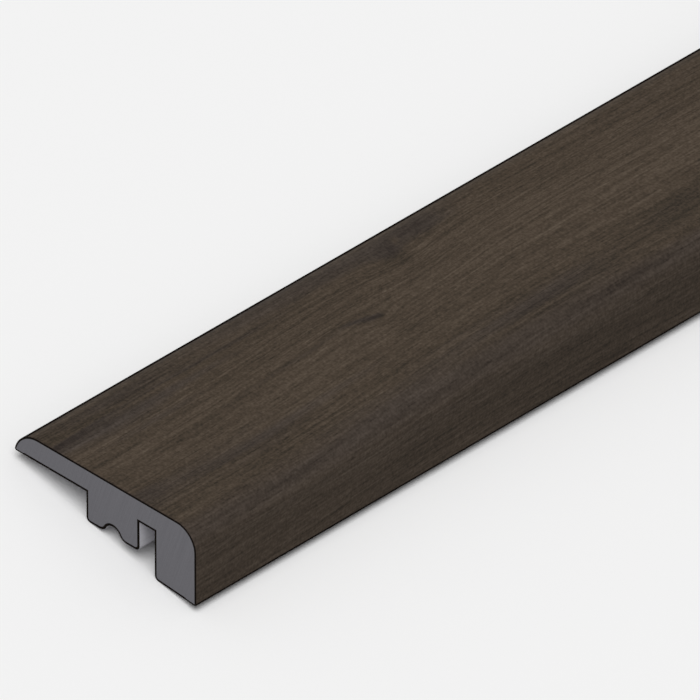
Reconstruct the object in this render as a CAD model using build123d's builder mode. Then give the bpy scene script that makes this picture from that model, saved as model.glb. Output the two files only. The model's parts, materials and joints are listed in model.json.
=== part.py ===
"""Square stair nosing: one length of moulded profile, lying loose on a level floor.

The section is drawn as it is fitted on a stair. Its u runs back from the front
face of the nose to the tip of the lip, and its v runs up from the toe, the
lowest edge of the foot, to the walking face. The finished length lies along X,
its nose faces -Y, and it leans back on its heel and web as it does when nothing
holds it.
"""

import math
import os

from build123d import *

# Driving dimensions, in millimetres and degrees
stock_length = 1200.0  # one stair's width
nose_height = 19.2  # toe to walking face
top_thickness = 5.9  # walking face to the lip's underside, and to the roof of the slot
foot_width = 12.35  # front face of the nose to the slot
slot_width = 4.5  # foot to web
web_width = 15.85  # front to back of the web
web_depth = 7.55  # the web hangs this far below the lip's underside
lip_reach = 21.5  # back of the web to the tip of the lip, before its edge is eased
sole_angle = 4.5  # the foot's sole rises this much from toe to heel
nose_radius = 5.7  # walking face into the front face
tip_radius = 7.1  # walking face down to the tip of the lip
eased_edge = 0.5  # round on the toe and on the tip of the lip
web_round = 1.3  # round on the two lower edges of the web
heel_round = 1.3  # round on the back edge of the foot's sole
groove_depth = 2.4  # glue groove along the underside of the web
groove_radius = 2.3  # roof of the glue groove, and the round of its two lips

# Levels and stations of the section
underside = nose_height - top_thickness
web_base = underside - web_depth
web_front = foot_width + slot_width
web_back = web_front + web_width
web_middle = (web_front + web_back) / 2
lip_tip = web_back + lip_reach
heel_level = foot_width * math.tan(math.radians(sole_angle))
tip_arc_level = nose_height - tip_radius
tip_arc_station = lip_tip - math.sqrt(tip_radius**2 - (underside - tip_arc_level) ** 2)
groove_roof_centre = web_base + groove_depth - groove_radius
groove_front = web_middle - groove_radius
groove_back = web_middle + groove_radius

# Section as fitted, drawn with sharp corners that are then rounded
with BuildSketch() as section:
    with BuildLine():
        Polyline(
            (tip_arc_station, nose_height),
            (0, nose_height),
            (0, 0),
            (foot_width, heel_level),
            (foot_width, underside),
            (web_front, underside),
            (web_front, web_base),
            (web_back, web_base),
            (web_back, underside),
            (lip_tip, underside),
        )
        TangentArc((tip_arc_station, nose_height), (lip_tip, underside), tangent=(1, 0))
    make_face()
    with Locations((web_middle, groove_roof_centre)):
        Circle(groove_radius, mode=Mode.SUBTRACT)

    def corners(*points):
        """The section's corners nearest to these points."""
        return [section.vertices().sort_by_distance(point)[0] for point in points]

    fillet(corners((groove_front, web_base), (groove_back, web_base)), groove_radius)
    fillet(corners((web_front, web_base), (web_back, web_base)), web_round)
    fillet(corners((foot_width, heel_level)), heel_round)
    fillet(corners((0, 0), (lip_tip, underside)), eased_edge)
    fillet(corners((0, nose_height)), nose_radius)

# Rounds that can meet the floor, as a centre and a radius
slope = math.radians(sole_angle)
heel_station = foot_width - heel_round
heel_centre = (heel_station, heel_station * math.tan(slope) + heel_round / math.cos(slope))
web_edge_centre = (web_back - web_round, web_base + web_round)
tip_edge_level = underside + eased_edge
tip_edge_run = math.sqrt((tip_radius - eased_edge) ** 2 - (tip_edge_level - tip_arc_level) ** 2)
tip_edge_centre = (tip_arc_station + tip_edge_run, tip_edge_level)


def lean_to(centre, radius):
    """Angle of the floor line that touches both the heel's round and the round given here."""
    run = centre[0] - heel_centre[0]
    rise = centre[1] - heel_centre[1]
    return math.atan2(rise, run) - math.asin((radius - heel_round) / math.hypot(run, rise))


# The nosing leans back until the first of the web and the lip meets the floor
lean = min(lean_to(web_edge_centre, web_round), lean_to(tip_edge_centre, eased_edge))
leaning_box = section.sketch.rotate(Axis.Z, -math.degrees(lean)).bounding_box()
resting_plane = Plane(
    origin=(0, -leaning_box.center().X, -leaning_box.min.Y),
    x_dir=(0, math.cos(lean), -math.sin(lean)),
    z_dir=(1, 0, 0),
)

# Nosing: the section carried along the stock's length
with BuildPart() as nosing:
    with BuildSketch(resting_plane):
        add(section.sketch)
    extrude(amount=stock_length / 2, both=True)

os.makedirs("parts", exist_ok=True)
nosing.part.label = "stair_nosing"
export_step(nosing.part, "parts/stair_nosing.step")
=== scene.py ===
"""Looks of the square stair nosing: a dark walnut print over a grey moulding, lying on a pale floor."""

import json
import math

import bpy
import numpy as np
from mathutils import Matrix, Vector


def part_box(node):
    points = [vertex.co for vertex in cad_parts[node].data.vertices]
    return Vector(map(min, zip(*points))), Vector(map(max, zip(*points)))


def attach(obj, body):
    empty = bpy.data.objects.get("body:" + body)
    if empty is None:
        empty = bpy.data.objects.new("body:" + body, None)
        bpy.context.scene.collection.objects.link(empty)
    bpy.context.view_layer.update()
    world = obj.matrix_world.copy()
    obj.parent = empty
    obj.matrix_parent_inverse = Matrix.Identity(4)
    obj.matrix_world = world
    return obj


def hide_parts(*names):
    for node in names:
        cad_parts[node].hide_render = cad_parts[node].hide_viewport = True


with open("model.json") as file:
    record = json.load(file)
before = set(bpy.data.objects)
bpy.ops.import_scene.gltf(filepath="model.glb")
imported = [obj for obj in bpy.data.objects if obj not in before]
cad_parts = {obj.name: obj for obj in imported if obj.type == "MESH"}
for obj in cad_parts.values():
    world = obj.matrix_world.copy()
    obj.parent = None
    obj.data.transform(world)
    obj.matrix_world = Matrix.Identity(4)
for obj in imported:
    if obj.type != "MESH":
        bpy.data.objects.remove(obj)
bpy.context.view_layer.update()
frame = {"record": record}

MM = 0.001

# Section of the moulding, as it is fitted on a stair: u runs back from the front face, v up from the toe
NOSE_HEIGHT = 19.2 * MM
TOP_THICKNESS = 5.9 * MM
FOOT_WIDTH = 12.35 * MM
SLOT_WIDTH = 4.5 * MM
WEB_WIDTH = 15.85 * MM
WEB_DEPTH = 7.55 * MM
LIP_REACH = 21.5 * MM
SOLE_ANGLE = math.radians(4.5)
NOSE_RADIUS = 5.7 * MM
TIP_RADIUS = 7.1 * MM
EASED_EDGE = 0.5 * MM
WEB_ROUND = 1.3 * MM
HEEL_ROUND = 1.3 * MM
GROOVE_DEPTH = 2.4 * MM
GROOVE_RADIUS = 2.3 * MM

# The printed film turns under the toe and under the lip. Dark paint covers the edges where it turns, on the
# lip from part of the way round its tip, and the rim of the cut ends
FILM_TURN_IN = 3.0 * MM
LIP_PAINT_TURN = math.radians(25.0)
FILM_RIM_WIDTH = 0.36 * MM
BARE_RIM_WIDTH = 0.52 * MM
CUT_EASE = 0.1 * MM

# Fineness of the mesh, and the angle from which an edge is shaded as a sharp one
ARC_STEP = math.radians(4.2)
RUN_SUPPORT = 0.25 * MM
RUN_SUPPORT_POINTS = 2
STATION_GAP = 40.0 * MM
END_LOOPS = 2
SHARP_ANGLE = math.radians(30)

# Second UV map, for baked looks: the length folded into rows, each with the printed faces below the bare
# ones, and both ends on top
BAKE_ROWS = 3
BAKE_ROW_HEIGHT = 0.31
BAKE_PRINT_HEIGHT = 0.215
BAKE_BARE_HEIGHT = 0.085
BAKE_MARGIN = 0.006
BAKE_END_SCALE = 0.0031 / MM
BAKE_NEAR_END = (0.02, 0.935)
BAKE_FAR_END = (0.25, 0.935)

# Levels and stations that follow from the section
UNDERSIDE = NOSE_HEIGHT - TOP_THICKNESS
WEB_BASE = UNDERSIDE - WEB_DEPTH
WEB_FRONT = FOOT_WIDTH + SLOT_WIDTH
WEB_BACK = WEB_FRONT + WEB_WIDTH
LIP_TIP = WEB_BACK + LIP_REACH

# Where the nosing lies, and how far it leans back from the way it is fitted
NEAR_END, FAR_END = (corner.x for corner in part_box("stair_nosing"))
lip_underside = next(mount for mount in frame["record"]["mounts"] if mount["name"] == "lip_underside")
LEAN = math.atan2(-lip_underside["axis"][1], -lip_underside["axis"][2])


# Section


def section_arcs():
    """The outline as a chain of arcs, clockwise from the film's edge under the toe.

    Each arc is a centre, a radius, and its first and last direction. Straight runs join the arcs, and a
    sharp corner or a point on a run is an arc of no radius.
    """
    left, right, up, down = math.pi, 0.0, math.pi / 2, -math.pi / 2
    sole_down = down + SOLE_ANGLE

    def on_sole(u, radius):
        return u, u * math.tan(SOLE_ANGLE) + radius / math.cos(SOLE_ANGLE)

    tip_level = NOSE_HEIGHT - TIP_RADIUS
    tip_station = LIP_TIP - math.sqrt(TIP_RADIUS**2 - (UNDERSIDE - tip_level) ** 2)
    edge_rise = UNDERSIDE + EASED_EDGE - tip_level
    edge_run = math.sqrt((TIP_RADIUS - EASED_EDGE) ** 2 - edge_rise**2)
    tip_turn = math.atan2(edge_rise, edge_run)

    groove = (WEB_FRONT + WEB_BACK) / 2
    lip_turn = math.asin(1 - GROOVE_DEPTH / (2 * GROOVE_RADIUS))
    lip_run = 2 * GROOVE_RADIUS * math.cos(lip_turn)
    lip_level = WEB_BASE + GROOVE_RADIUS
    roof_level = lip_level + GROOVE_DEPTH - 2 * GROOVE_RADIUS

    return {
        "film edge under the toe": (on_sole(FILM_TURN_IN, 0), 0, down, down),
        "toe": (on_sole(EASED_EDGE, EASED_EDGE), EASED_EDGE, sole_down, -left),
        "nose": ((NOSE_RADIUS, NOSE_HEIGHT - NOSE_RADIUS), NOSE_RADIUS, left, up),
        "tip": ((tip_station, tip_level), TIP_RADIUS, up, tip_turn),
        "tip edge": ((tip_station + edge_run, UNDERSIDE + EASED_EDGE), EASED_EDGE, tip_turn, down),
        "film edge under the lip": ((LIP_TIP - FILM_TURN_IN, UNDERSIDE), 0, down, down),
        "lip root": ((WEB_BACK, UNDERSIDE), 0, right, right),
        "web back edge": ((WEB_BACK - WEB_ROUND, WEB_BASE + WEB_ROUND), WEB_ROUND, right, down),
        "groove back lip": ((groove + lip_run, lip_level), GROOVE_RADIUS, down, lip_turn - left),
        "groove roof": ((groove, roof_level), GROOVE_RADIUS, lip_turn, left - lip_turn),
        "groove front lip": ((groove - lip_run, lip_level), GROOVE_RADIUS, -lip_turn, down),
        "web front edge": ((WEB_FRONT + WEB_ROUND, WEB_BASE + WEB_ROUND), WEB_ROUND, down, -left),
        "slot roof at the web": ((WEB_FRONT, UNDERSIDE), 0, left, left),
        "slot roof at the foot": ((FOOT_WIDTH, UNDERSIDE), 0, right, right),
        "heel": (on_sole(FOOT_WIDTH - HEEL_ROUND, HEEL_ROUND), HEEL_ROUND, right, sole_down),
    }


def section_outline():
    """Points of the closed outline, and the number of the first point of each arc.

    A point on an arc is its centre plus its radius times the cosine and sine of the direction. A run
    between two arcs has a point close to either end, so that its flat shading stays apart from the arcs',
    and a short run has none. Where two arcs meet, they share a point.
    """
    names, arcs = [], []
    for name, (centre, radius, first, last) in section_arcs().items():
        direction = np.linspace(first, last, 1 + math.ceil(abs(last - first) / ARC_STEP))
        names.append(name)
        arcs.append(np.array(centre) + radius * np.stack([np.cos(direction), np.sin(direction)], 1))
    shortest_supported = 2 * RUN_SUPPORT_POINTS * RUN_SUPPORT
    parts, starts, count = [], {}, 0
    for name, here, there in zip(names, arcs, arcs[1:] + arcs[:1]):
        run = there[0] - here[-1]
        length = np.linalg.norm(run)
        support = run * RUN_SUPPORT / max(length, RUN_SUPPORT)
        if length < RUN_SUPPORT:
            part = here[:-1]
        elif length < shortest_supported:
            part = here
        else:
            part = np.concatenate([here, [here[-1] + support, there[0] - support]])
        starts[name] = count
        count += len(part)
        parts.append(part)
    return np.concatenate(parts), starts


outline, arc_starts = section_outline()
front_foot = arc_starts["nose"] - RUN_SUPPORT_POINTS  # the lower of the two supports on the front face


def lean_back(points):
    """Y and Z of points of the section, turned back by the lean and set down on the floor.

    The turn takes u to (cos, -sin) and v to (sin, cos) of the lean. The outline's middle then goes to
    Y = 0, and its lowest point to the floor.
    """
    turn = np.array([[math.cos(LEAN), -math.sin(LEAN)], [math.sin(LEAN), math.cos(LEAN)]])
    lying = outline @ turn
    middle, floor = (lying[:, 0].min() + lying[:, 0].max()) / 2, lying[:, 1].min()
    return points @ turn - np.array([middle, floor])


# Nosing


def inward_steps():
    """For each point of the outline, the step that moves both edges beside it inwards by one unit.

    It is the sum of the two edges' inward directions, divided by one plus the cosine between them.
    """
    edge = np.roll(outline, -1, axis=0) - outline
    edge /= np.linalg.norm(edge, axis=1, keepdims=True)
    inward = np.stack([edge[:, 1], -edge[:, 0]], 1)
    before = np.roll(inward, 1, axis=0)
    return (before + inward) / (1 + np.sum(before * inward, axis=1, keepdims=True))


def run_across():
    """Distance of each point along the outline, and once more for the first point on the way round.

    It is counted so that a point on the front face has its own height above the toe.
    """
    edge = np.linalg.norm(np.roll(outline, -1, axis=0) - outline, axis=1)
    distance = np.concatenate([[0], np.cumsum(edge)])
    return distance - distance[front_foot] + outline[front_foot, 1]


def set_uv(mesh, name, *places):
    """A new UV map, from arrays of places in the order of the faces' corners."""
    layer = mesh.uv_layers.new(name=name)
    layer.uv.foreach_set("vector", np.concatenate([part.ravel() for part in places]).astype(np.float32))


def bake_places(x, sections, row, corner_row, corner_column):
    """Places of the grid's corners on the second UV map.

    The length is cut into equal rows. Within a row, the place is the share of the row's length that lies
    behind the corner, and the corner's distance across, with the bare faces drawn narrower than the printed
    ones. The end loops lie around their flat face, as seen from that end.
    """
    spans = len(x) - 1 - 2 * END_LOOPS
    fold = ((row - END_LOOPS) * BAKE_ROWS // spans).clip(0, BAKE_ROWS - 1)[..., None]
    share = (x[corner_row] - x[0]) / (x[-1] - x[0]) * BAKE_ROWS - fold
    across = run_across()
    stops = across[[0, arc_starts["film edge under the lip"], -1]]
    height = np.interp(across, stops, np.cumsum([0, BAKE_PRINT_HEIGHT, BAKE_BARE_HEIGHT]))
    row_width = 1 - 2 * BAKE_MARGIN
    rolled_out = np.stack([share * row_width, fold * BAKE_ROW_HEIGHT + height[corner_column]], 3)

    nearer = (row < END_LOOPS)[..., None, None]
    end_place = np.where(nearer, BAKE_NEAR_END, BAKE_FAR_END)
    around_end = sections[corner_row, corner_column % sections.shape[1]] * BAKE_END_SCALE + end_place
    at_end = nearer | (row >= END_LOOPS + spans)[..., None, None]
    return np.where(at_end, around_end, BAKE_MARGIN + rolled_out)


def make_nosing():
    """The section carried along X from one cut end to the other.

    A loop of the grid is the outline at one X, moved inwards by an inset. The insets close each end: first
    the eased cut edge, then the painted rim, then one flat face. The first UV map holds the distance along
    from the near end and the distance across the print, and on the flat ends the section's own u and v, in
    metres.
    """
    gaps = round((FAR_END - NEAR_END) / STATION_GAP)
    stations = np.linspace(NEAR_END + CUT_EASE, FAR_END - CUT_EASE, 1 + gaps)
    x = np.concatenate([[NEAR_END] * END_LOOPS, stations, [FAR_END] * END_LOOPS])
    rows, columns = len(x), len(outline)
    wrapped = np.arange(columns) < arc_starts["film edge under the lip"]
    inset = np.zeros((rows, columns, 1))
    inset[[1, -2]] = CUT_EASE
    inset[[0, -1]] = CUT_EASE + np.where(wrapped, FILM_RIM_WIDTH, BARE_RIM_WIDTH)[:, None]
    sections = outline + inset * inward_steps()
    lengthwise = np.broadcast_to(x[:, None, None], (rows, columns, 1))
    points = np.concatenate([lengthwise, lean_back(sections)], axis=2)

    row, column = np.meshgrid(np.arange(rows - 1), np.arange(columns), indexing="ij")
    corner_row = np.stack([row, row + 1, row + 1, row], 2)
    corner_column = np.stack([column, column, column + 1, column + 1], 2)
    quads = (corner_row * columns + corner_column % columns).reshape(-1, 4)
    near_face = np.arange(columns)[::-1]
    far_face = (rows - 1) * columns + np.arange(columns)
    mesh = bpy.data.meshes.new("stair_nosing_dressed")
    mesh.from_pydata(points.reshape(-1, 3), [], quads.tolist() + [near_face.tolist(), far_face.tolist()])

    at_end = (row < END_LOOPS) | (row >= rows - 1 - END_LOOPS)
    lip_paint = arc_starts["tip"] + round(LIP_PAINT_TURN / ARC_STEP)
    printed = (column >= front_foot) & (column < lip_paint)
    finish = np.where(at_end | (wrapped & ~printed), PAINT, np.where(printed, PRINT, MOULDED)).ravel()
    mesh.polygons.foreach_set("material_index", np.append(finish, [SAWN, SAWN]).astype(np.int32))
    mesh.polygons.foreach_set("use_smooth", np.append(~at_end.ravel(), [False, False]))
    mesh.set_sharp_from_angle(angle=SHARP_ANGLE)

    near_section, far_section = sections[0, near_face], sections[-1]
    decor = np.stack([x[corner_row] - NEAR_END, run_across()[corner_column]], 3)
    set_uv(mesh, "Decor", decor, near_section, far_section)
    near_bake = near_section * BAKE_END_SCALE + BAKE_NEAR_END
    far_bake = far_section * BAKE_END_SCALE + BAKE_FAR_END
    set_uv(mesh, "OFBake", bake_places(x, sections, row, corner_row, corner_column), near_bake, far_bake)
    return bpy.data.objects.new("stair_nosing_dressed", mesh)


# Fields: numbers that vary over a surface, worked out by a material's nodes

SEED_STEP = 7.31  # distance between two patterns in the depth of the noise


class Field:
    """A number that varies over a surface. Arithmetic on it adds Math nodes to its material."""

    def __init__(self, socket):
        self.socket = socket

    @property
    def tree(self):
        return self.socket.id_data

    def __add__(self, other):
        return math_node("ADD", self, other)

    def __sub__(self, other):
        return math_node("SUBTRACT", self, other)

    def __rsub__(self, other):
        return math_node("SUBTRACT", other, self)

    def __mul__(self, other):
        return math_node("MULTIPLY", self, other)

    def __truediv__(self, other):
        return math_node("DIVIDE", self, other)

    __radd__ = __add__
    __rmul__ = __mul__


def plug(value, socket):
    """Links a field to a socket, or sets the socket to a plain number or colour."""
    if isinstance(value, Field):
        socket.id_data.links.new(value.socket, socket)
    else:
        socket.default_value = value


def math_node(operation, *terms):
    """The field that a Math node makes of its terms, of which at least one is a field."""
    tree = next(term.tree for term in terms if isinstance(term, Field))
    node = tree.nodes.new("ShaderNodeMath")
    node.operation = operation
    for term, socket in zip(terms, node.inputs):
        plug(term, socket)
    return Field(node.outputs["Value"])


def cloud(along, across, length, width, seed, detail=1.0):
    """Soft random spots of this length and width, from about -1 to 1. The seed picks the pattern."""
    place = along.tree.nodes.new("ShaderNodeCombineXYZ")
    for value, socket in zip((along / length, across / width, SEED_STEP * seed), place.inputs):
        plug(value, socket)
    node = along.tree.nodes.new("ShaderNodeTexNoise")
    node.inputs["Scale"].default_value = 1.0
    node.inputs["Detail"].default_value = detail
    plug(Field(place.outputs["Vector"]), node.inputs["Vector"])
    return Field(node.outputs["Fac"]) * 2 - 1


def rise(field, low, high):
    """0 below low, 1 above high, and a smooth step between them."""
    node = field.tree.nodes.new("ShaderNodeMapRange")
    node.interpolation_type = "SMOOTHSTEP"
    plug(field, node.inputs["Value"])
    node.inputs["From Min"].default_value = low
    node.inputs["From Max"].default_value = high
    return Field(node.outputs["Result"])


def hill(*distances):
    """1 where all distances are 0, falling off as e to the power of minus the sum of their squares."""
    total = sum(distance * distance for distance in distances)
    return math_node("EXPONENT", total * -1)


def linear(red, green, blue):
    """An sRGB colour, given from 0 to 255, as the linear colour that a shader takes."""
    share = np.array([red, green, blue]) / 255
    value = np.where(share <= 0.04045, share / 12.92, ((share + 0.055) / 1.055) ** 2.4)
    return (*value.tolist(), 1.0)


def shades(field, colours):
    """A ramp through colours that are spread evenly from 0 to 1."""
    node = field.tree.nodes.new("ShaderNodeValToRGB")
    stops = node.color_ramp.elements
    for position in np.linspace(0, 1, len(colours))[1:-1]:
        stops.new(position)
    for stop, colour in zip(stops, colours):
        stop.color = linear(*colour)
    plug(field, node.inputs["Fac"])
    return Field(node.outputs["Color"])


def blend(share, first, second):
    """The first colour where the share is 0, and the second where it is 1."""
    node = share.tree.nodes.new("ShaderNodeMix")
    node.data_type = "RGBA"
    plug(share, node.inputs["Factor"])
    colour_sockets = [socket for socket in node.inputs if socket.type == "RGBA"]
    for colour, socket in zip((first, second), colour_sockets):
        plug(colour, socket)
    return Field(next(socket for socket in node.outputs if socket.type == "RGBA"))


# Finishes. Their places are in millimetres, along from the near end, and across from the toe up the front
# face and back over the walking face. Their colours are in sRGB from 0 to 255

PRINT, MOULDED, SAWN, PAINT = range(4)


def new_finish(name, specular):
    """A new material, its shader, and the two coordinates of the nosing's UV map in millimetres."""
    material = bpy.data.materials.new(name)
    material.use_nodes = True
    tree = material.node_tree
    shader = tree.nodes["Principled BSDF"]
    shader.inputs["Specular IOR Level"].default_value = specular
    place = tree.nodes.new("ShaderNodeUVMap")
    place.uv_map = "Decor"
    split = tree.nodes.new("ShaderNodeSeparateXYZ")
    plug(Field(place.outputs["UV"]), split.inputs["Vector"])
    along, across = (Field(split.outputs[axis]) / MM for axis in "XY")
    return material, shader, along, across


def emboss(shader, relief, depth):
    """Tilts the shader's normal as a relief of this depth, in metres, would."""
    node = relief.tree.nodes.new("ShaderNodeBump")
    node.inputs["Distance"].default_value = depth
    plug(relief, node.inputs["Height"])
    plug(Field(node.outputs["Normal"]), shader.inputs["Normal"])


# Walnut print

# Bends of the grain: how far it moves, and the length and width of a bend
BROAD_SWEEP = (5.5, 240, 75)
LESSER_SWEEP = (1.2, 75, 24)
TREMBLE = (0.3, 9, 4)

# Slant of the grain: how far it moves to the back in all, the stretch along over which it does, and the
# stretch across over which the slant fades out
GRAIN_SLANT = 6.0
SLANT_STRETCH = (5, 120)
SLANT_FADE = (46, 62)

# Knots, and first of all a plain dark streak at the near end: along, across, half length, half width,
# darkness, how far the grain swerves round them, and how far it dips there towards the front
KNOTS = (
    (5.0, 48.1, 11.0, 0.5, 0.34, 0.0, 0.0),
    (83.3, 44.7, 0.9, 0.6, 0.3, 0.8, 1.3),
    (101.2, 59.6, 2.6, 2.6, 0.08, 2.4, 1.6),
    (352.0, 30.0, 1.8, 0.9, 0.4, 1.4, 1.0),
    (566.0, 52.0, 3.5, 2.6, 0.25, 3.0, 1.5),
    (731.0, 8.0, 1.4, 0.8, 0.36, 1.2, -1.0),
    (918.0, 39.0, 2.0, 1.0, 0.4, 1.6, 1.2),
    (1104.0, 57.0, 4.0, 3.0, 0.22, 3.0, 1.5),
)

# How far round a knot its swerve and its dip reach, in its own half lengths and half widths, and the share
# of the swerve that each half width from its middle adds
SWERVE_REACH = (6, 4)
DIP_REACH = (5, 6)
SWERVE_SHARE = 1 / 3

# Smoky veins and patches, and paler ones with less than no darkness:
# along, across, half length, half width, darkness, and rise across for each unit along
SMOKE = (
    (4.0, 59.2, 13.0, 0.9, 0.3, 0.02),
    (40.0, 60.2, 26.0, 0.6, 0.12, 0.0),
    (84.0, 58.2, 26.0, 0.5, 0.06, 0.01),
    (46.0, 45.2, 32.0, 1.0, 0.18, 0.08),
    (79.0, 46.6, 5.0, 0.6, 0.2, -0.27),
    (78.5, 38.5, 3.6, 3.6, -0.12, 0.0),
    (106.4, 56.2, 2.8, 1.4, -0.14, 0.15),
    (20.0, 30.6, 14.0, 0.5, 0.08, 0.02),
    (80.6, 45.6, 3.0, 1.3, 0.13, -0.12),
    (87.0, 47.5, 3.6, 0.7, 0.12, 0.45),
    (101.0, 49.6, 11.0, 0.8, 0.1, 0.05),
    (86.5, 52.6, 6.0, 2.0, 0.05, 0.0),
    (89.5, 49.6, 5.0, 3.0, -0.06, 0.0),
    (98.0, 28.6, 24.0, 0.8, 0.08, 0.03),
    (14.0, 62.6, 22.0, 2.0, 0.1, 0.0),
    (100.6, 59.8, 4.4, 3.4, 0.19, 0.0),
    (100.6, 55.4, 3.0, 2.2, 0.1, 0.0),
    (112.4, 62.2, 7.5, 2.8, 0.17, 0.0),
    (85.7, 46.7, 1.4, 0.8, -0.12, 0.5),
    (104.6, 62.4, 1.2, 1.2, -0.12, 0.6),
    (26.0, 52.0, 22.0, 4.0, 0.11, 0.0),
    (35.0, 27.8, 13.0, 3.4, 0.08, 0.06),
    (2.0, 34.0, 5.0, 9.0, 0.1, 0.0),
    (118.0, 25.0, 17.0, 3.2, 0.1, 0.02),
    (155.0, 28.8, 17.0, 4.6, 0.14, 0.03),
    (120.0, 5.5, 46.0, 7.0, 0.1, 0.0),
    (134.0, 19.5, 26.0, 6.0, 0.06, 0.0),
    (82.0, 49.0, 24.0, 5.0, -0.04, 0.0),
    (80.0, 23.5, 24.0, 3.0, -0.05, 0.0),
    (128.0, 7.3, 20.0, 1.5, 0.05, 0.0),
    (128.0, 10.6, 20.0, 1.4, -0.05, 0.0),
)
SMOKE_RAGGEDNESS = 0.8  # how far their edges wander across

# Zones across the print: the stretch over which each comes or goes, or its middle and half width
FRONT_GOES = (16, 26)
FLANK_COMES = (14, 20)
HEART_COMES = (20, 42)
HEART_GOES = (48, 64)
# The turn of the nose is a painted highlight: there the print is painted paler and greyer on the nose's
# round
NOSE_TURN_HIGHLIGHT_MIDDLE, NOSE_TURN_HIGHLIGHT_HALF_WIDTH = 16.5, 4.5
CREST_MIDDLE, CREST_HALF_WIDTH = 45, 4

# Feather of slanting streaks beside the first true knot: its middle, and its half length and half width
FEATHER_ALONG, FEATHER_ACROSS = 89.5, 50
FEATHER_HALF_LENGTH, FEATHER_HALF_WIDTH = 6, 3.2

# Veins lie where the spots that they border, from -1 to 1, are this close to 0
VEIN_CLOSENESS = 0.05

# Tone of the print, from 0 at its darkest to 1 at its palest: its level, and what zones and marks add
PRINT_TONE = 0.535
TONE_SHARES = {
    "crest": 0.05,
    "front": 0.01,
    # the turn of the nose: painted highlight
    "turn": 0.06,
    "flank": -0.08,
    "veins": -0.06,
    "pores": -0.14,
    "glints": 0.1,
    "feather": 0.2,
}

# Layers of the figure: length along the grain, width across it, detail, and what they add to the tone
FIGURE = {
    "bands": (320.0, 16.0, 1.0, 0.08),
    "growth": (140.0, 2.6, 1.0, 0.03),
    "lines": (28.0, 0.7, 1.0, 0.25),
    "fibres": (10.0, 0.46, 1.0, 0.14),
    "flecks": (4.2, 0.65, 2.0, 0.18),
    "blotches": (30.0, 12.0, 1.0, 0.08),
    "mottle": (1.6, 1.4, 1.0, 0.14),
    "grit": (0.6, 0.66, 1.0, 0.32),
}
FIRST_FIGURE_SEED = 13

# Greyness of the print: its level on the front, what smoke and zones add elsewhere, the stretch of it over
# which grey takes the place of brown, and the most that it takes
FRONT_GREYNESS = 0.28
SMOKE_GREYNESS = 2.2
# The turn of the nose is greyer as part of its painted highlight
GREYNESS_SHARES = {"flank": 0.25, "turn": 0.06, "heart": -0.1}
GREY_COMES = (0.1, 0.6)
MOST_GREY = 0.85

WALNUT_BROWNS = (43, 38, 32), (56, 49, 41), (72, 62, 52), (87, 76, 65), (101, 91, 79)
WALNUT_GREYS = (43, 37, 34), (54, 47, 43), (65, 58, 53), (76, 68, 63), (86, 78, 72)


def bend(along, across, shape, seed):
    """A random shift across, as far as the shape's first number, in bends of its length and width."""
    reach, length, width = shape
    return reach * cloud(along, across, length, width, seed)


def walnut_grain(along, across, tremble):
    """The course of the grain, and the shadow of the knots.

    The grain is the distance across plus its sweeps and its tremble, less a smooth slant. Each knot is a
    hill of darkness. It pushes the grain apart in step with the distance from its middle, and dips it.
    """
    sweep = bend(along, across, BROAD_SWEEP, seed=1) + bend(along, across, LESSER_SWEEP, seed=2)
    slant = GRAIN_SLANT * rise(along, *SLANT_STRETCH) * (1 - rise(across, *SLANT_FADE))
    grain = across + sweep + tremble - slant
    shadow = 0
    for knot_along, knot_across, half_length, half_width, darkness, swerve, dip in KNOTS:
        lengthwise = (along - knot_along) / half_length
        crosswise = (across + tremble - knot_across) / half_width
        swerving = hill(lengthwise / SWERVE_REACH[0], crosswise / SWERVE_REACH[1])
        dipping = hill(lengthwise / DIP_REACH[0], crosswise / DIP_REACH[1])
        grain = grain - crosswise * swerving * (swerve * SWERVE_SHARE) + dip * dipping
        shadow = shadow + darkness * hill(lengthwise, crosswise)
    return grain, shadow


def walnut_smoke(along, across, tremble):
    """The smoky veins and patches: a sum of slanting hills, whose edges are ragged along the grain."""
    raggedness = SMOKE_RAGGEDNESS * cloud(along, across, length=30, width=1.2, seed=4, detail=2)
    ragged = across + tremble + raggedness
    smoke = 0
    for middle_along, middle_across, half_length, half_width, darkness, tilt in SMOKE:
        lengthwise = along - middle_along
        crosswise = ragged - middle_across - tilt * lengthwise
        smoke = smoke + darkness * hill(lengthwise / half_length, crosswise / half_width)
    return smoke


def walnut_zones(across):
    """Zones across the print, each a share from 0 to 1.

    They are the front, the turn of the nose, the heart of the walking face with its crest, and the flanks
    beside the heart. Over the turn of the nose the print is painted paler and greyer, as a painted
    highlight on its round.
    """
    heart = rise(across, *HEART_COMES) * (1 - rise(across, *HEART_GOES))
    return {
        "front": 1 - rise(across, *FRONT_GOES),
        # painted highlight on the nose's round
        "turn": hill((across - NOSE_TURN_HIGHLIGHT_MIDDLE) / NOSE_TURN_HIGHLIGHT_HALF_WIDTH),
        "heart": heart,
        "crest": hill((across - CREST_MIDDLE) / CREST_HALF_WIDTH),
        "flank": rise(across, *FLANK_COMES) * (1 - heart),
    }


def walnut_marks(along, across, grain):
    """Marks on the print: dark pores and veins and pale glints along the grain, and the slanting feather.

    Pores and glints are the peaks of drawn-out spots. A vein runs where broader spots pass through 0. The
    feather is a hill of streaks that run at 45 degrees to the length.
    """
    pores = cloud(along, grain, length=3.2, width=0.3, seed=12)
    veins = cloud(along, grain, length=190, width=5.5, seed=11)
    glints = cloud(along, grain, length=60, width=0.45, seed=21)
    streaks = cloud(along + across, across - along, length=9, width=0.9, seed=22)
    lengthwise = (along - FEATHER_ALONG) / FEATHER_HALF_LENGTH
    crosswise = (across - FEATHER_ACROSS) / FEATHER_HALF_WIDTH
    return {
        "pores": rise(pores, low=0.25, high=0.45),
        "veins": hill(veins / VEIN_CLOSENESS),
        "glints": rise(glints, low=0.15, high=0.5),
        "feather": hill(lengthwise, crosswise) * streaks,
    }


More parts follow.
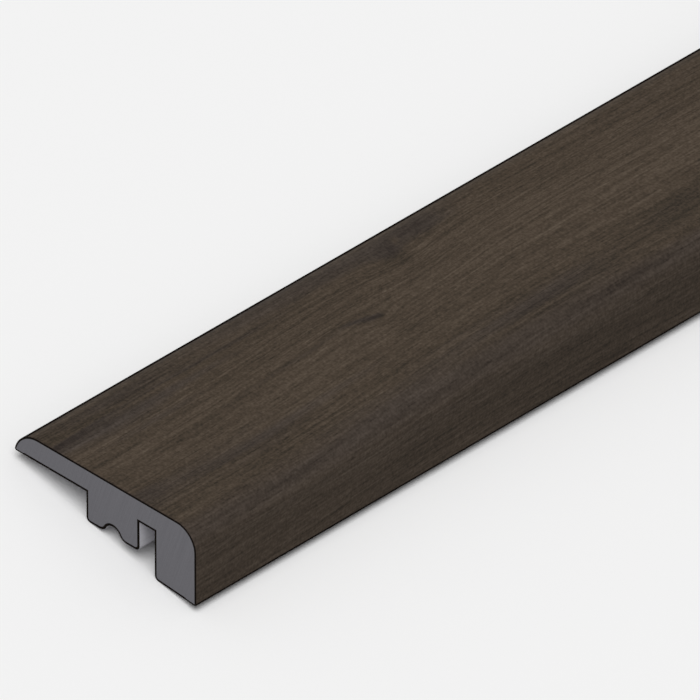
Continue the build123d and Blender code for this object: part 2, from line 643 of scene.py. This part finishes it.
def walnut_print():
    """Dark walnut.

    The tone is a level plus the shares of zones, marks and layers of the figure, less knots and smoke. The
    layers are random spots drawn out along the grain. The tone picks a brown and a grey, and the greyness
    blends them: the front is evenly greyer, and so are the flanks, the smoke and some drifts of the rest.
    The turn of the nose is paler and greyer, as a painted highlight.
    """
    material, shader, along, across = new_finish("walnut_print", specular=0.03)
    tremble = bend(along, across, TREMBLE, seed=3)
    grain, shadow = walnut_grain(along, across, tremble)
    smoke = walnut_smoke(along, across, tremble)
    zones = walnut_zones(across)
    marks = walnut_marks(along, across, grain)

    features = zones | marks
    tone = sum((share * features[name] for name, share in TONE_SHARES.items()), PRINT_TONE)
    tone = tone - shadow - smoke
    layers = {}
    for seed, (name, (length, width, detail, share)) in enumerate(FIGURE.items(), FIRST_FIGURE_SEED):
        layers[name] = cloud(along, grain, length, width, seed, detail)
        tone = tone + share * layers[name]

    drifts = cloud(along, grain, length=110, width=9, seed=5, detail=2) + SMOKE_GREYNESS * smoke
    patches = FRONT_GREYNESS * zones["front"] + (1 - zones["front"]) * drifts
    greyness = sum((share * zones[name] for name, share in GREYNESS_SHARES.items()), patches)
    grey_share = MOST_GREY * rise(greyness, *GREY_COMES)

    colour = blend(grey_share, shades(tone, WALNUT_BROWNS), shades(tone, WALNUT_GREYS))
    roughness = 0.55 - 0.06 * layers["lines"] + 0.1 * marks["pores"]
    relief = 0.5 * layers["fibres"] + 0.3 * layers["lines"] + 0.3 * layers["mottle"] - marks["pores"]
    plug(colour, shader.inputs["Base Color"])
    plug(roughness, shader.inputs["Roughness"])
    emboss(shader, relief, depth=0.03 * MM)
    return material


# Plain finishes

# The bare moulding's greys are painted paler than the cut ends' grey of the same core: painted light that
# lifts the shaded slot wall and underside
MOULDED_GREYS_PAINTED_LIGHT = (204, 203, 208), (216, 215, 220), (226, 225, 230)
SAWN_GREYS = (112, 111, 116), (124, 123, 128), (136, 135, 140)
PAINT_BROWNS = (18, 16, 15), (29, 25, 22), (44, 38, 33)
SAW_SLANT = 0.35  # how far the saw marks lean to the front for each unit up


def moulded_grey_painted_light():
    """The bare moulding: plain grey with faint die lines along its length and a soft mottle, paler than the
    cut ends as painted light.
    """
    material, shader, along, across = new_finish("moulded_grey_painted_light", specular=0.2)
    die_lines = cloud(along, across, length=400, width=0.5, seed=11, detail=2)
    mottle = cloud(along, across, length=6, width=6, seed=12, detail=2)
    tone = 0.5 + 0.35 * die_lines + 0.25 * mottle
    plug(shades(tone, MOULDED_GREYS_PAINTED_LIGHT), shader.inputs["Base Color"])
    plug(0.55 + 0.08 * mottle, shader.inputs["Roughness"])
    emboss(shader, die_lines, depth=0.04 * MM)
    return material


def sawn_grey():
    """The cut ends: a darker grey, with fine slanting saw marks and specks of filler."""
    material, shader, back, up = new_finish("sawn_grey", specular=0.1)
    marks = cloud(back + SAW_SLANT * up, up - SAW_SLANT * back, length=0.35, width=25, seed=13, detail=2)
    specks = cloud(back, up, length=0.3, width=0.3, seed=14)
    tone = 0.5 + 0.3 * marks + 0.2 * specks
    plug(shades(tone, SAWN_GREYS), shader.inputs["Base Color"])
    plug(0.7 + 0.1 * specks, shader.inputs["Roughness"])
    emboss(shader, marks + 0.5 * specks, depth=0.03 * MM)
    return material


def edge_paint():
    """Dark brown matt paint on the edges, drawn out along them in faint streaks and a little uneven."""
    material, shader, along, across = new_finish("edge_paint", specular=0.0)
    streaks = cloud(along, across, length=30, width=0.6, seed=15, detail=2)
    chips = cloud(along, across, length=3, width=0.6, seed=16, detail=2)
    tone = 0.5 + 0.5 * streaks + 0.4 * chips
    plug(shades(tone, PAINT_BROWNS), shader.inputs["Base Color"])
    plug(0.7 + 0.1 * chips, shader.inputs["Roughness"])
    emboss(shader, streaks + 0.5 * chips, depth=0.03 * MM)
    return material


# Floor, light and camera

# The floor shows its colour, and bounces light as if it were darker. The backdrop shows in the sky's place
FLOOR_HALF = 20.0
FLOOR_COLOUR = linear(252, 252, 252)
FLOOR_BOUNCE = linear(190, 190, 190)
BACKDROP_COLOUR = linear(242, 242, 242)
SKY_STRENGTH = 0.35
KEY_STRENGTH = 0.6
KEY_FROM = Vector((-0.3, -0.08, 0.95))
KEY_SPREAD = math.radians(50)

# The photograph's width and the section's width on its cut end, in pixels, the section's real width, and
# the point that the photograph has in its middle
PHOTO_WIDTH = 700
SECTION_PIXELS = 208.9
SECTION_WIDTH = 54.0 * MM
MIDDLE_ALONG = 74.35 * MM
MIDDLE_BACK = 28.75 * MM
MIDDLE_UP = 14.43 * MM

# The camera's lens and sensor in millimetres, for a view that is nearly parallel, and its reach in metres
LENS = 1600.0
SENSOR = 36.0
CAMERA_REACH = 100.0


def seen_share(tree):
    """1 for rays that show a surface to the camera, straight, mirrored or through glass, else 0."""
    path = tree.nodes.new("ShaderNodeLightPath")
    seen = [Field(path.outputs[name]) for name in ("Is Camera Ray", "Is Glossy Ray", "Is Transmission Ray")]
    return math_node("MAXIMUM", math_node("MAXIMUM", seen[0], seen[1]), seen[2])


def make_floor():
    """A square at Z = 0, whose corners lie half its width from the origin along X and along Y.

    It bounces less light than the pale colour that it shows.
    """
    mesh = bpy.data.meshes.new("floor")
    corners = FLOOR_HALF * np.array([(-1, -1, 0), (1, -1, 0), (1, 1, 0), (-1, 1, 0)])
    mesh.from_pydata(corners, [], [(0, 1, 2, 3)])
    material = bpy.data.materials.new("pale_floor")
    material.use_nodes = True
    shader = material.node_tree.nodes["Principled BSDF"]
    shader.inputs["Roughness"].default_value = 0.9
    shader.inputs["Specular IOR Level"].default_value = 0.0
    plug(blend(seen_share(material.node_tree), FLOOR_BOUNCE, FLOOR_COLOUR), shader.inputs["Base Color"])
    mesh.materials.append(material)
    floor = bpy.data.objects.new("floor", mesh)
    bpy.context.scene.collection.objects.link(floor)


def make_light():
    """An even sky that shows as a pale backdrop, and one broad lamp, high up and towards the near end."""
    world = bpy.data.worlds.new("sky")
    world.use_nodes = True
    background = world.node_tree.nodes["Background"]
    sky = (SKY_STRENGTH, SKY_STRENGTH, SKY_STRENGTH, 1.0)
    plug(blend(seen_share(world.node_tree), sky, BACKDROP_COLOUR), background.inputs["Color"])
    bpy.context.scene.world = world

    lamp = bpy.data.lights.new("key", "SUN")
    lamp.energy = KEY_STRENGTH * math.pi
    lamp.angle = KEY_SPREAD
    key = bpy.data.objects.new("key", lamp)
    key.rotation_mode = "QUATERNION"
    key.rotation_quaternion = KEY_FROM.to_track_quat("Z", "Y")
    bpy.context.scene.collection.objects.link(key)


def make_camera():
    """A distant camera on the diagonal of the section's own axes, so all three show at one scale.

    The frame is as wide as the photograph is at that scale. The scale is true at the depth of the point
    that the photograph has in its middle.
    """
    toward = Vector((-1, -1, 1)).normalized()
    upward = Vector((1, 1, 2)).normalized()
    rightward = upward.cross(toward)
    foreshortening = math.sqrt(2 / 3)
    width = PHOTO_WIDTH / SECTION_PIXELS * SECTION_WIDTH * foreshortening
    middle = Vector((NEAR_END + MIDDLE_ALONG, *lean_back(np.array([MIDDLE_BACK, MIDDLE_UP]))))
    turn = Matrix.Rotation(-LEAN, 3, "X")
    data = bpy.data.cameras.new("camera")
    data.lens = LENS
    data.sensor_width = SENSOR
    data.clip_end = CAMERA_REACH
    camera = bpy.data.objects.new("camera", data)
    axes = Matrix((turn @ rightward, turn @ upward, turn @ toward)).transposed()
    camera.matrix_world = Matrix.Translation(middle + turn @ toward * width * LENS / SENSOR) @ axes.to_4x4()
    bpy.context.scene.collection.objects.link(camera)
    bpy.context.scene.camera = camera


nosing = make_nosing()
for finish in (walnut_print(), moulded_grey_painted_light(), sawn_grey(), edge_paint()):
    nosing.data.materials.append(finish)
bpy.context.scene.collection.objects.link(nosing)
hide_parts("stair_nosing")
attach(nosing, "root")

make_floor()
make_light()
make_camera()
bpy.context.scene.view_settings.view_transform = "Standard"
